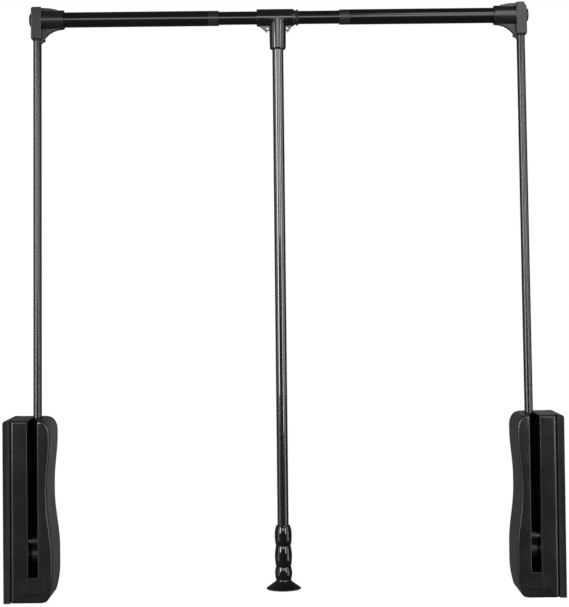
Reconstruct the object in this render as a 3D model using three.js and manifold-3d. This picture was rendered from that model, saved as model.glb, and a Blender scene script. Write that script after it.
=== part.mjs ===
// Pull down closet rod: two sprung housings on the wardrobe sides carry a telescopic
// hanging rail on two arms, and a handle hangs from the rail to pull it down.
//
// Millimetres, +X to the right, -Y towards the user, +Z up. The origin is where the pivot
// axis meets the left wardrobe side. The rail is up, and its handle hangs straight down.

import * as THREE from 'three';
import { mergeVertices } from 'three/addons/utils/BufferGeometryUtils.js';
import Module from 'manifold-3d';

const wasm = await Module();
wasm.setup();

// Driving dimensions
const wallSpan = 780;
const housingHeight = 252.4;
const housingDepth = 90;
const pivotHeight = 61.2;
const pivotSetback = 45;
const armInset = 41;
const armLength = 762.8;
const armLeanDegrees = 2.4;
const foldDegrees = 112;

// Clearances and cut overruns
const seatGap = 0.3;
const slotSideGap = 1;
const overrun = 5;

// Housing: tray against the wall
const trayThickness = 9.7;
const trayFloor = 3;
const trayRim = 4;
const trayTopRadius = 4;
const wallHoleRadius = 2.3;
const wallHoleSetback = 22;
const wallHoleBelowTop = 25;
const wallHoleAboveFoot = 22;

// Housing: cover. Drops are from its top and heights from its foot
const coverWidth = 55.4;
const coverWall = 2.5;
const coverWallEdgeRadius = 5;
const coverFrontEdgeRadius = 4;
const coverRearEdgeRadius = 10;
const coverRimRadius = 4;
const shoulderDrop = 25;
const waistTopDrop = 94;
const waistFootDrop = 106;
const bellyHeight = 65;
const waistDepth = 4.6;
const bellyRise = 2.4;
const topCornerWidth = 14;
const topCornerHeight = 19;
const footCornerWidth = 7;
const footCornerHeight = 6;
const footTaperWidth = 7.5;
const footTaperHeight = 42;

// Slot that the arm swings through, its ribs, and the bumper block at its foot
const slotFootHeight = 36;
const slotRearReach = 16;
const slotRib = 2;
const slotRibDepth = 15;
const blockWidth = 19;
const blockHeight = 23.5;
const blockProud = 1.5;
const blockDepth = 12.5;

// Pivot
const pinRadius = 4;
const bushRadius = 5.5;
const trayBossRadius = 8;
const trayBossReach = 12;
const coverBossRadius = 9;
const coverBossReach = 17;
const coverBossFloor = 5;

// Lever, crank pin and arm tube
const leverThickness = 12;
const hubRadius = 13;
const neckLength = 20;
const spigotLength = 28;
const crankRadius = 24;
const crankTipRadius = 6;
const crankPinRadius = 3;
const armRadius = 6;
const tubeWall = 1.2;

// Crosshead, with rails on the tray, damper and spring
const crossheadThickness = 13;
const crossheadBar = 4;
const crossheadPivotGap = 0.8;
const crankTravelPlay = 1.6;
const wallSideSpace = 15;
const frontSpace = 4;
const railWidth = 3;
const railInset = 3;
const railOverlap = 4;
const rodRadius = 2.5;
const rodSeat = 3;
const pistonRadius = 4.6;
const pistonLength = 10;
const damperRadius = 6;
const damperWall = 1;
const damperLip = 4;
const damperLength = 82;
const damperBehindFront = 30.5;
const damperPistonTopGap = 12;
const studRadius = 2;
const studReach = 6;
const springBehindFront = 12;
const springCoilRadius = 5.2;
const springWireRadius = 0.8;
const springHook = 9;

// Anchor bracket for the spring and the damper. Its shelf is below the housing top
const anchorShelfDrop = 21;
const anchorShelf = 3;
const anchorLeaf = 2;
const anchorLeafHeight = 29;
const anchorFrontGap = 3.3;
const anchorRearReach = 34.5;
const anchorWidth = 20;
const anchorBossRadius = 4;
const anchorScrewDrop = 19;
const anchorScrewRadius = 1.75;
const anchorScrewHeadRadius = 3.5;
const anchorScrewHead = 2.2;
const anchorScrewTip = 1;

// Elbow. Lengths are from the crossing of the arm and rail axes
const elbowOuter = 7.6;
const elbowInner = 7.4;
const elbowRise = 17;
const elbowDrop = 29.6;
const elbowHalfDepth = 14.5;
const elbowBevel = 1.5;
const elbowLeftCorner = 2;
const elbowRightCornerWidth = 4;
const elbowRightCornerHeight = 7.2;
const socketRadius = 14;
const socketReach = 38.6;
const socketFloor = 14;
const rampReach = 30;
const rampMiddleReach = 18;
const rampMiddleRise = 16;
const rampStep = 0.4;
const rampHalfDepth = 8;
const webHalfDepth = 4;
const webDrop = 34;
const webArcCentreReach = 36;
const webArcCentreDrop = 48;
const webArcWidth = 31.8;
const webArcHeight = 34;
const armSeatDrop = 8;
const capRadius = 9.5;
const capThickness = 4;
const capRound = 1.2;
const capStemRadius = 4;
const capStemLength = 10.6;
const setScrewRadius = 2;
const setScrewLength = 5.2;
const setScrewDrop = 30.5;

// Rail: two outer tubes with end rings over one centre tube
const railRadius = 11;
const endRingHalfGap = 87;
const endRingLength = 15;
const centreHalfLength = 228;

// Tee, its flanged bush, handle tube and grip. Tee lengths are from its own crossing
const teeLeftOfCentre = 2;
const teeReachLeft = 30;
const teeReachRight = 24;
const teeRadius = 12.5;
const teeEndChamfer = 2;
const teeBushWall = 1.3;
const bushNeck = 2.7;
const bushNeckRadius = 10.5;
const bushFlange = 3.3;
const bushFlangeRadius = 11.9;
const stemTopRadius = 12.25;
const stemFootRadius = 11.6;
const stemDrop = 46.5;
const stemLipRound = 3;
const gussetHalfDepth = 2.5;
const gussetInset = 0.6;
const gussetRootDrop = 10.8;
const gussetBendReachLeft = 23;
const gussetBendReachRight = 19;
const gussetBendDrop = 15;
const gussetTipReachLeft = 16.2;
const gussetTipReachRight = 14.8;
const gussetTipDrop = 21.2;
const gussetTipWidth = 1.4;
const gussetNotchDrop = 18.7;
const gussetHoleRadius = 1.7;
const gussetHoleReachLeft = 14.6;
const gussetHoleReachRight = 13.9;
const gussetHoleDrop = 15.5;
const handleRadius = 8;
const handleSeatDrop = 14.5;
const gripBulgeRadius = 12.55;
const gripWaistRadius = 10.9;
const gripNeckRadius = 10.4;
const gripUpperBulge = 29.4;
const gripLowerBulge = 21.6;
const flareRadius = 24.8;
const flareHeight = 10.1;
const flareRim = 1.2;
const gripFootAboveHousing = 2.5;
const gripFloor = 13;

// Facet counts
const fineSides = 32;
const tubeSides = 24;
const smallSides = 16;
const wireSides = 5;
const stepsPerCurl = 8;
const springCurls = 17;
const cornerSteps = 3;
const rearCornerSteps = 5;
const endSteps = 6;
const waveSteps = 4;
const arcSteps = 8;
const bulgeSteps = 6;

// Values worked out from the driving dimensions
const radians = Math.PI / 180;
const quarterTurn = Math.PI / 2;
const lean = armLeanDegrees * radians;
const footZ = -pivotHeight;
const topZ = housingHeight - pivotHeight;
const frontY = -pivotSetback;
const rearY = housingDepth - pivotSetback;
const shoulderHeight = housingHeight - shoulderDrop;
const waistTopHeight = housingHeight - waistTopDrop;
const waistFootHeight = housingHeight - waistFootDrop;
const coverStart = trayThickness + seatGap;
const coverEdge = coverStart + coverWidth;
const slotWidth = leverThickness + slotSideGap + slotSideGap;
const slotFootZ = footZ + slotFootHeight;
const leverStart = armInset - leverThickness / 2;
const leverEnd = armInset + leverThickness / 2;
const crankRestAngle = Math.PI - (foldDegrees * radians) / 2;
const crankRestY = crankRadius * Math.cos(crankRestAngle);
const crankRestZ = crankRadius * Math.sin(crankRestAngle);
const crossheadEnd = wallSideSpace + crossheadThickness;
const crossheadFrontY = frontY + frontSpace;
const crossheadRearY = -(bushRadius + crossheadPivotGap);
const crossheadHalfHeight = crankPinRadius + crankTravelPlay + crossheadBar;
const crossheadTopZ = crankRestZ + crossheadHalfHeight;
const mechanismX = wallSideSpace + crossheadThickness / 2;
const damperY = frontY + damperBehindFront;
const springY = frontY + springBehindFront;
const shelfTopZ = topZ - anchorShelfDrop;
const shelfFootZ = shelfTopZ - anchorShelf;
const socketEnd = armInset + socketReach;
const railStart = armInset + socketFloor + seatGap;
const endRingEnd = wallSpan / 2 - endRingHalfGap;
const outerTubeEnd = endRingEnd - endRingLength - seatGap;
const centreRadius = railRadius - tubeWall - seatGap;
const teeX = wallSpan / 2 - teeLeftOfCentre;
const railY = armLength * Math.sin(lean);
const railZ = armLength * Math.cos(lean);
const teeBoreRadius = centreRadius + seatGap + teeBushWall + seatGap;
const gripFootZ = footZ + gripFootAboveHousing;
const gripTopZ = gripFootZ + flareHeight + gripLowerBulge + gripUpperBulge + gripUpperBulge;

// Finishes
const finishes = {
  coverPlastic: { color: 0x2b2c2e, roughness: 0.45, metalness: 0 },
  trayPlastic: { color: 0x232426, roughness: 0.5, metalness: 0 },
  rubber: { color: 0x151515, roughness: 0.85, metalness: 0 },
  paintedTube: { color: 0x1d1e20, roughness: 0.35, metalness: 0.3 },
  glossPlastic: { color: 0x101012, roughness: 0.12, metalness: 0 },
  elbowPlastic: { color: 0x202124, roughness: 0.4, metalness: 0 },
  steel: { color: 0xa9abad, roughness: 0.35, metalness: 1 },
  darkSteel: { color: 0x3a3b3d, roughness: 0.45, metalness: 0.9 },
  bushPlastic: { color: 0x1a1a1c, roughness: 0.4, metalness: 0 },
};

// Solids: three.js shapes in, joined and cut solids out

function signedVolume(positions, index) {
  let volume = 0;
  for (let i = 0; i < index.length; i += 3) {
    const [a, b, c] = [index[i], index[i + 1], index[i + 2]].map((vertex) =>
      new THREE.Vector3().fromArray(positions, vertex * 3));
    volume += a.dot(b.cross(c));
  }
  return volume;
}

function turnedOver(index) {
  const flipped = Uint32Array.from(index);
  for (let i = 0; i < flipped.length; i += 3) {
    [flipped[i + 1], flipped[i + 2]] = [flipped[i + 2], flipped[i + 1]];
  }
  return flipped;
}

function solid(geometry) {
  const bare = geometry.clone();
  bare.deleteAttribute('normal');
  bare.deleteAttribute('uv');
  const merged = mergeVertices(bare);
  const vertProperties = Float32Array.from(merged.attributes.position.array);
  const index = Uint32Array.from(merged.index.array);
  const triVerts = signedVolume(vertProperties, index) < 0 ? turnedOver(index) : index;
  return new wasm.Manifold(new wasm.Mesh({ numProp: 3, vertProperties, triVerts }));
}

function geometryOf(manifold, mirrored) {
  const mesh = manifold.getMesh();
  const positions = Float32Array.from(mesh.vertProperties);
  let index = Uint32Array.from(mesh.triVerts);
  if (mirrored) {
    for (let i = 0; i < positions.length; i += 3) {
      positions[i] = -positions[i];
    }
    index = turnedOver(index);
  }
  const geometry = new THREE.BufferGeometry();
  geometry.setAttribute('position', new THREE.BufferAttribute(positions, 3));
  geometry.setIndex(new THREE.BufferAttribute(index, 1));
  geometry.computeVertexNormals();
  return geometry;
}

// A block between two corners
function block(x0, x1, y0, y1, z0, z1) {
  const geometry = new THREE.BoxGeometry(x1 - x0, y1 - y0, z1 - z0);
  geometry.translate((x0 + x1) / 2, (y0 + y1) / 2, (z0 + z1) / 2);
  return solid(geometry);
}

// A round bar along X or Z between two places
function barX(radius, x0, x1, y, z, sides = smallSides) {
  const geometry = new THREE.CylinderGeometry(radius, radius, x1 - x0, sides);
  geometry.rotateZ(quarterTurn);
  geometry.translate((x0 + x1) / 2, y, z);
  return solid(geometry);
}

function barY(radius, y0, y1, x, z, sides = smallSides) {
  const geometry = new THREE.CylinderGeometry(radius, radius, y1 - y0, sides);
  geometry.translate(x, (y0 + y1) / 2, z);
  return solid(geometry);
}

function barZ(radius, z0, z1, x, y, sides = smallSides) {
  const geometry = new THREE.CylinderGeometry(radius, radius, z1 - z0, sides);
  geometry.rotateX(quarterTurn);
  geometry.translate(x, y, (z0 + z1) / 2);
  return solid(geometry);
}

// A turned piece: profile points are [radius, place along the axis]
function turnedZ(profile, x, y, sides) {
  const geometry = new THREE.LatheGeometry(profile.map(([r, z]) => new THREE.Vector2(r, z)), sides);
  geometry.rotateX(quarterTurn);
  geometry.translate(x, y, 0);
  return solid(geometry);
}

function turnedX(profile, y, z, sides) {
  const geometry = new THREE.LatheGeometry(profile.map(([r, x]) => new THREE.Vector2(r, x)), sides);
  geometry.rotateZ(-quarterTurn);
  geometry.translate(0, y, z);
  return solid(geometry);
}

function tubeX(radius, bore, x0, x1, y, z) {
  return turnedX([[bore, x0], [radius, x0], [radius, x1], [bore, x1], [bore, x0]], y, z, tubeSides);
}

function tubeZ(radius, bore, z0, z1, x, y) {
  return turnedZ([[bore, z0], [radius, z0], [radius, z1], [bore, z1], [bore, z0]], x, y, tubeSides);
}

// An outline in X and Z with a thickness along Y, its edges bevelled if asked
function plateY(points, y0, y1, bevel = 0) {
  const shape = new THREE.Shape(points.map(([x, z]) => new THREE.Vector2(x, z)));
  const geometry = new THREE.ExtrudeGeometry(shape, {
    depth: y1 - y0 - bevel - bevel,
    bevelEnabled: bevel > 0,
    bevelThickness: bevel,
    bevelSize: bevel,
    bevelOffset: -bevel,
    bevelSegments: 1,
  });
  geometry.rotateX(quarterTurn);
  geometry.translate(0, y1 - bevel, 0);
  return solid(geometry);
}

function joined(solids) {
  return solids.reduce((whole, piece) => whole.add(piece));
}

function cut(whole, solids) {
  return solids.reduce((rest, piece) => rest.subtract(piece), whole);
}

function arc(x, z, width, height, from, to, steps) {
  const points = [];
  for (let i = 0; i <= steps; i += 1) {
    const angle = from + ((to - from) * i) / steps;
    points.push([x + width * Math.cos(angle), z + height * Math.sin(angle)]);
  }
  return points;
}

// A skin through rings of equally many points, closed flat at both ends
function loft(rings) {
  const count = rings[0].length;
  const index = [];
  for (let i = 0; i < rings.length - 1; i += 1) {
    for (let j = 0; j < count; j += 1) {
      const a = i * count + j;
      const b = i * count + ((j + 1) % count);
      index.push(a, b, b + count, a, b + count, a + count);
    }
  }
  const last = (rings.length - 1) * count;
  const outline = rings[0].map(([x, y]) => new THREE.Vector2(x, y));
  for (const [a, b, c] of THREE.ShapeUtils.triangulateShape(outline, [])) {
    index.push(a, c, b, last + a, last + b, last + c);
  }
  const geometry = new THREE.BufferGeometry();
  geometry.setAttribute('position', new THREE.Float32BufferAttribute(rings.flat(2), 3));
  geometry.setIndex(index);
  return solid(geometry);
}

// Housing cover

function smoothStep(share) {
  const held = Math.min(Math.max(share, 0), 1);
  return (1 - Math.cos(Math.PI * held)) / 2;
}

// How far the cover reaches from the wall at a height above its foot
function coverReach(height) {
  const waist = smoothStep((shoulderHeight - height) / (shoulderHeight - waistTopHeight));
  const belly = smoothStep((waistFootHeight - height) / (waistFootHeight - bellyHeight));
  const wave = (waistDepth + bellyRise) * belly - waistDepth * waist;
  const topShare = Math.max(0, 1 - (housingHeight - height) / topCornerHeight);
  const footShare = Math.max(0, 1 - height / footCornerHeight);
  const topCut = topCornerWidth * (1 - Math.sqrt(1 - topShare * topShare));
  const footCut = footCornerWidth * (1 - Math.sqrt(1 - footShare * footShare));
  const taperShare = Math.max(0, 1 - height / footTaperHeight);
  return coverEdge + wave - topCut - footCut - footTaperWidth * taperShare * taperShare;
}

// How far the front and rear draw in at the rounded top and foot rims
function rimInset(height) {
  const rise = Math.min(height, housingHeight - height, coverRimRadius);
  const share = 1 - rise / coverRimRadius;
  return coverRimRadius * (1 - Math.sqrt(1 - share * share));
}

function coverHeights() {
  const levels = [];
  for (let i = 0; i < endSteps; i += 1) {
    levels.push(footCornerHeight * (1 - Math.cos((quarterTurn * i) / endSteps)));
  }
  const spans = [
    [footCornerHeight, footTaperHeight],
    [footTaperHeight, bellyHeight],
    [bellyHeight, waistFootHeight],
    [waistFootHeight, waistTopHeight],
    [waistTopHeight, shoulderHeight],
  ];
  for (const [low, high] of spans) {
    for (let i = 0; i < waveSteps; i += 1) {
      levels.push(low + ((high - low) * i) / waveSteps);
    }
  }
  for (let i = 0; i <= endSteps; i += 1) {
    levels.push(housingHeight - topCornerHeight * (1 - Math.sin((quarterTurn * i) / endSteps)));
  }
  return levels;
}

function coverRing(height, inset) {
  const share = (height - inset) / (housingHeight - inset - inset);
  const reach = coverReach(inset > 0 ? share * housingHeight : height) - inset;
  const front = frontY + rimInset(height) + inset;
  const rear = rearY - rimInset(height) - inset;
  const z = footZ + height;
  const frontRound = coverFrontEdgeRadius - inset;
  const rearRound = coverRearEdgeRadius - inset;
  const points = [
    ...arc(reach - frontRound, front + frontRound, frontRound, frontRound, -quarterTurn, 0, cornerSteps),
    ...arc(reach - rearRound, rear - rearRound, rearRound, rearRound, 0, quarterTurn, rearCornerSteps),
  ];
  const wallCentreX = coverStart + coverWallEdgeRadius;
  const wallCentreY = front - inset + coverWallEdgeRadius;
  const wallRound = coverWallEdgeRadius - inset;
  if (inset > 0) {
    points.push([coverStart - overrun, rear], [coverStart - overrun, wallCentreY]);
  } else {
    points.push([coverStart, rear]);
  }
  points.push(...arc(wallCentreX, wallCentreY, wallRound, wallRound,
    Math.PI, Math.PI + quarterTurn, cornerSteps));
  return points.map(([x, y]) => [x, y, z]);
}

function housingCover() {
  const heights = coverHeights();
  const outside = loft(heights.map((height) => coverRing(height, 0)));
  const inner = housingHeight - coverWall - coverWall;
  const inside = loft(heights.map((height) =>
    coverRing(coverWall + (height * inner) / housingHeight, coverWall)));
  const slotLow = armInset - slotWidth / 2;
  const slotHigh = armInset + slotWidth / 2;
  const bossWall = coverReach(pivotHeight) - coverWall / 2;
  const bossStart = bossWall - coverBossReach + coverWall / 2;
  const windowHalf = blockWidth / 2 + seatGap;
  const ribFront = frontY + coverWall / 2;
  const ribRear = frontY + slotRibDepth;
  const ribTop = topZ - coverWall / 2;
  const shell = joined([
    outside.subtract(inside),
    barX(coverBossRadius, bossStart, bossWall, 0, 0, tubeSides),
    block(slotLow - slotRib, slotHigh + slotRib, ribFront, ribRear, slotFootZ, ribTop),
  ]);
  return cut(shell, [
    block(slotLow, slotHigh, frontY - overrun, slotRearReach, slotFootZ - seatGap, topZ + overrun),
    block(armInset - windowHalf, armInset + windowHalf, frontY - overrun, frontY + slotRibDepth,
      slotFootZ - blockHeight - seatGap - seatGap, slotFootZ),
    barX(pinRadius + seatGap, bossStart - overrun, bossWall - coverBossFloor, 0, 0),
  ]);
}

// Mounting tray: floor on the wall, a rim round it, bosses and two rails for the crosshead
function mountingTray() {
  const outline = [
    [0, footZ],
    [trayThickness, footZ],
    [trayThickness, topZ],
    ...arc(trayTopRadius, topZ - trayTopRadius, trayTopRadius, trayTopRadius,
      quarterTurn, Math.PI, arcSteps),
  ];
  const rails = [crossheadFrontY + railInset, crossheadRearY - railInset - railWidth].map((y) =>
    block(trayFloor / 2, wallSideSpace - seatGap, y, y + railWidth,
      -crossheadTopZ - railOverlap, crossheadTopZ + railOverlap));
  const whole = joined([
    plateY(outline, frontY, rearY).subtract(
      block(trayFloor, trayThickness + overrun, frontY + trayRim, rearY - trayRim,
        footZ + trayRim, topZ - trayRim)),
    barX(trayBossRadius, trayFloor / 2, trayBossReach, 0, 0, tubeSides),
    barX(anchorBossRadius, trayFloor / 2, trayThickness, anchorScrewY(), anchorScrewZ()),
    ...rails,
  ]);
  const wallHoles = [topZ - wallHoleBelowTop, footZ + wallHoleAboveFoot].map((z) =>
    barX(wallHoleRadius, -overrun, trayFloor + overrun, wallHoleSetback, z));
  return cut(whole, [
    barX(pinRadius + seatGap, trayFloor, trayBossReach + overrun, 0, 0),
    barX(anchorScrewRadius + seatGap, trayFloor, trayThickness + overrun, anchorScrewY(), anchorScrewZ()),
    ...wallHoles,
  ]);
}

function anchorScrewY() {
  return frontY + anchorFrontGap + coverWall + (anchorRearReach - anchorFrontGap) / 2;
}

function anchorScrewZ() {
  return shelfTopZ - anchorScrewDrop;
}

function bumperBlock() {
  const top = slotFootZ - seatGap;
  return plateY([
    [armInset - blockWidth / 2, top - blockHeight],
    [armInset + blockWidth / 2, top - blockHeight],
    [armInset + blockWidth / 2, top],
    [armInset - blockWidth / 2, top],
  ], frontY - blockProud, frontY + blockDepth, seatGap);
}

function pivotPin() {
  const end = coverReach(pivotHeight) - coverWall / 2 - coverBossFloor - seatGap;
  return barX(pinRadius, trayFloor + seatGap, end, 0, 0);
}

function pivotBush() {
  const end = coverReach(pivotHeight) - coverBossReach - seatGap;
  return tubeX(bushRadius, pinRadius + seatGap, trayBossReach + seatGap, end, 0, 0);
}

// Lever: hub on the bush, neck and spigot up into the arm tube, crank for the crosshead
function armLever() {
  const angle = crankRestAngle + lean;
  const crankY = crankRadius * Math.cos(angle);
  const crankZ = crankRadius * Math.sin(angle);
  const crank = new THREE.BoxGeometry(leverThickness, crankRadius, crankTipRadius + crankTipRadius);
  crank.translate(armInset, crankRadius / 2, 0);
  crank.rotateX(angle);
  const body = joined([
    barX(hubRadius, leverStart, leverEnd, 0, 0, tubeSides),
    solid(crank),
    barX(crankTipRadius, leverStart, leverEnd, crankY, crankZ),
    block(leverStart, leverEnd, -armRadius, armRadius, 0, neckLength),
    barZ(armRadius - tubeWall - seatGap, 0, neckLength + spigotLength, armInset, 0),
  ]);
  return cut(body, [
    barX(bushRadius + seatGap, leverStart - overrun, leverEnd + overrun, 0, 0, tubeSides),
    barX(crankPinRadius + seatGap, leverStart - overrun, leverEnd + overrun, crankY, crankZ),
  ]);
}

function crankPin() {
  const angle = crankRestAngle + lean;
  return barX(crankPinRadius, wallSideSpace + slotSideGap, leverEnd - seatGap,
    crankRadius * Math.cos(angle), crankRadius * Math.sin(angle));
}

function armTube() {
  return tubeZ(armRadius, armRadius - tubeWall, neckLength + seatGap, armLength - armSeatDrop, armInset, 0);
}

// Crosshead: a block with a level slot for the crank pin
function crosshead() {
  const slotHalf = crankPinRadius + crankTravelPlay;
  const slotFront = -(crankRadius + crankPinRadius + crossheadPivotGap);
  const slotRear = crankRestY + crankPinRadius + crossheadPivotGap;
  return cut(
    block(wallSideSpace, crossheadEnd, crossheadFrontY, crossheadRearY,
      crankRestZ - crossheadHalfHeight, crossheadTopZ),
    [
      block(wallSideSpace - overrun, crossheadEnd + overrun, slotFront, slotRear,
        crankRestZ - slotHalf, crankRestZ + slotHalf),
      barZ(rodRadius + seatGap, crossheadTopZ - rodSeat, crossheadTopZ + overrun, mechanismX, damperY),
    ],
  );
}

function damperTopZ() {
  return shelfFootZ - seatGap;
}

function damperRod() {
  const foot = crossheadTopZ - rodSeat + seatGap;
  const top = damperTopZ() - damperPistonTopGap;
  const pistonFoot = top - pistonLength;
  return turnedZ([
    [0, foot], [rodRadius, foot], [rodRadius, pistonFoot],
    [pistonRadius, pistonFoot], [pistonRadius, top], [0, top],
  ], mechanismX, damperY, smallSides);
}

function damperCylinder() {
  const top = damperTopZ();
  const foot = top - damperLength;
  const bore = damperRadius - damperWall;
  const hole = rodRadius + seatGap;
  const roof = top - damperLip;
  return turnedZ([
    [0, top + studReach], [studRadius, top + studReach], [studRadius, top],
    [damperRadius, top], [damperRadius, foot], [hole, foot],
    [hole, foot + damperLip], [bore, foot + damperLip], [bore, roof], [0, roof],
  ], mechanismX, damperY, smallSides);
}

// Spring: one wire, straight hooks on the axis at both ends and curls between them
class SpringLine extends THREE.Curve {
  constructor(low, high) {
    super();
    this.low = low;
    this.high = high;
  }

  getPoint(share, target = new THREE.Vector3()) {
    const z = this.low + (this.high - this.low) * share;
    const coilLow = this.low + springHook;
    const coilHigh = this.high - springHook;
    const coilShare = Math.min(Math.max((z - coilLow) / (coilHigh - coilLow), 0), 1);
    const turns = coilShare * springCurls;
    const spread = smoothStep(Math.min(turns, springCurls - turns));
    const angle = turns * 2 * Math.PI;
    return target.set(
      mechanismX + springCoilRadius * spread * Math.cos(angle),
      springY + springCoilRadius * spread * Math.sin(angle),
      z,
    );
  }
}

function tensionSpring() {
  const low = crossheadTopZ + seatGap;
  const high = shelfFootZ - seatGap;
  const lastAngle = (2 * Math.PI * (wireSides - 1)) / wireSides;
  const wire = arc(0, 0, springWireRadius, springWireRadius, 0, lastAngle, wireSides - 1);
  const section = new THREE.Shape(wire.map(([x, y]) => new THREE.Vector2(x, y)));
  const coilShare = (high - low - springHook - springHook) / (high - low);
  return solid(new THREE.ExtrudeGeometry(section, {
    steps: Math.round((stepsPerCurl * springCurls) / coilShare),
    extrudePath: new SpringLine(low, high),
  }));
}

function anchorBracket() {
  const front = frontY + coverWall + anchorFrontGap;
  const rear = front + anchorRearReach - anchorFrontGap;
  const start = trayThickness + seatGap;
  return cut(
    joined([
      block(start, start + anchorLeaf, front, rear, shelfTopZ - anchorLeafHeight, shelfTopZ),
      block(start, start + anchorWidth, front, rear, shelfFootZ, shelfTopZ),
    ]),
    [
      barZ(studRadius + seatGap, shelfFootZ - overrun, shelfTopZ + overrun, mechanismX, damperY),
      barX(anchorScrewRadius + seatGap, start - overrun, start + overrun, anchorScrewY(), anchorScrewZ()),
    ],
  );
}

function anchorScrew() {
  const seat = trayThickness + seatGap + anchorLeaf + seatGap;
  return turnedX([
    [0, trayFloor + anchorScrewTip],
    [anchorScrewRadius, trayFloor + anchorScrewTip],
    [anchorScrewRadius, seat],
    [anchorScrewHeadRadius, seat],
    [anchorScrewHeadRadius, seat + anchorScrewHead],
    [0, seat + anchorScrewHead],
  ], anchorScrewY(), anchorScrewZ(), smallSides);
}

// Elbow: a flat-faced block on the arm, a round socket for the rail, a ramp and a web
function elbow(mirrored) {
  const x = armInset;
  const z = armLength;
  const cornerWidth = mirrored ? elbowRightCornerWidth : elbowLeftCorner;
  const cornerHeight = mirrored ? elbowRightCornerHeight : elbowLeftCorner;
  const face = plateY([
    [x - elbowOuter, z - elbowDrop],
    [x + elbowInner, z - elbowDrop],
    [x + elbowInner, z + elbowRise],
    [x - elbowOuter + cornerWidth, z + elbowRise],
    [x - elbowOuter, z + elbowRise - cornerHeight],
  ], -elbowHalfDepth, elbowHalfDepth, elbowBevel);
  const ramp = plateY([
    [x, z],
    [x + rampReach, z],
    [x + rampReach, z + socketRadius - seatGap],
    [x + rampMiddleReach, z + rampMiddleRise],
    [x + elbowInner, z + elbowRise - rampStep],
    [x, z + elbowRise - rampStep],
  ], -rampHalfDepth, rampHalfDepth);
  const arcFrom = Math.atan2(webArcCentreDrop - webDrop, webArcWidth);
  const web = plateY([
    [x, z],
    [x + webArcCentreReach, z],
    ...arc(x + webArcCentreReach, z - webArcCentreDrop, webArcWidth, webArcHeight,
      quarterTurn, Math.PI - arcFrom, arcSteps),
    [x, z - webDrop],
  ], -webHalfDepth, webHalfDepth);
  const body = joined([face, ramp, web, barX(socketRadius, x, socketEnd, 0, z, fineSides)]);
  return cut(body, [
    barX(railRadius + seatGap, x + socketFloor, socketEnd + overrun, 0, z, tubeSides),
    barZ(armRadius + seatGap, z - webDrop - overrun, z - armSeatDrop + seatGap, x, 0, tubeSides),
    barX(capStemRadius + seatGap, x - elbowOuter - overrun, x - elbowOuter + capStemLength + seatGap, 0, z),
    barX(setScrewRadius + seatGap, x, socketEnd, 0, z - setScrewDrop),
  ]);
}

function elbowCap() {
  const seat = armInset - elbowOuter - seatGap;
  return turnedX([
    [0, seat - capThickness],
    [capRadius - capRound, seat - capThickness],
    [capRadius, seat - capThickness + capRound],
    [capRadius, seat],
    [capStemRadius, seat],
    [capStemRadius, seat + capStemLength],
    [0, seat + capStemLength],
  ], 0, armLength, tubeSides);
}

function setScrew() {
  const tip = armInset + armRadius + seatGap;
  return barX(setScrewRadius, tip, tip + setScrewLength, 0, armLength - setScrewDrop);
}

function outerTube() {
  return tubeX(railRadius, railRadius - tubeWall, railStart, outerTubeEnd, 0, armLength);
}

function endRing() {
  return tubeX(railRadius, centreRadius + seatGap, outerTubeEnd + seatGap, endRingEnd, 0, armLength);
}

function centreTube() {
  const middle = wallSpan / 2;
  return tubeX(centreRadius, centreRadius - tubeWall,
    middle - centreHalfLength, middle + centreHalfLength, 0, armLength);
}

// Bush in the tee: its neck and flanged rim show past the tee's right end
function teeBush() {
  const bore = centreRadius + seatGap;
  const body = bore + teeBushWall;
  const start = teeX - teeReachLeft + teeEndChamfer;
  const shoulder = teeX + teeReachRight - teeEndChamfer;
  const rim = teeX + teeReachRight + bushNeck;
  const end = rim + bushFlange;
  return turnedX([
    [bore, start], [body, start], [body, shoulder], [bushNeckRadius, shoulder], [bushNeckRadius, rim],
    [bushFlangeRadius, rim + bushFlange / 2], [bushNeckRadius, end], [bore, end], [bore, start],
  ], 0, armLength, tubeSides);
}

// Tee: a sleeve round the bush, a stem for the handle tube and a holed gusset each side
function tee() {
  const left = teeX - teeReachLeft;
  const right = teeX + teeReachRight;
  const foot = railZ - stemDrop;
  const sleeve = turnedX([
    [0, left], [teeRadius, left], [teeRadius, right - teeEndChamfer],
    [teeRadius - teeEndChamfer / 2, right], [0, right],
  ], railY, railZ, fineSides);
  const lip = arc(stemFootRadius - stemLipRound, foot + stemLipRound, stemLipRound, stemLipRound,
    -quarterTurn, 0, cornerSteps);
  const stem = turnedZ([[0, foot], ...lip, [stemTopRadius, railZ], [0, railZ]], teeX, railY, fineSides);
  const gusset = (side, reach, bendReach, tipReach) => plateY([
    [teeX, railZ],
    [teeX, railZ - gussetNotchDrop],
    [teeX + side * (tipReach - gussetTipWidth), railZ - gussetNotchDrop],
    [teeX + side * (tipReach - gussetTipWidth), railZ - gussetTipDrop],
    [teeX + side * tipReach, railZ - gussetTipDrop],
    [teeX + side * bendReach, railZ - gussetBendDrop],
    [teeX + side * (reach - gussetInset), railZ - gussetRootDrop],
    [teeX + side * (reach - gussetInset), railZ],
  ], railY - gussetHalfDepth, railY + gussetHalfDepth);
  const gussets = [
    gusset(-1, teeReachLeft, gussetBendReachLeft, gussetTipReachLeft),
    gusset(1, teeReachRight, gussetBendReachRight, gussetTipReachRight),
  ];
  const holes = [-gussetHoleReachLeft, gussetHoleReachRight].map((reach) =>
    barY(gussetHoleRadius, railY - overrun, railY + overrun, teeX + reach, railZ - gussetHoleDrop));
  return cut(joined([sleeve, stem, ...gussets]), [
    barX(teeBoreRadius, left - overrun, right + overrun, railY, railZ, tubeSides),
    barZ(handleRadius + seatGap, foot - overrun, railZ - handleSeatDrop + seatGap, teeX, railY, tubeSides),
    ...holes,
  ]);
}

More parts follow.
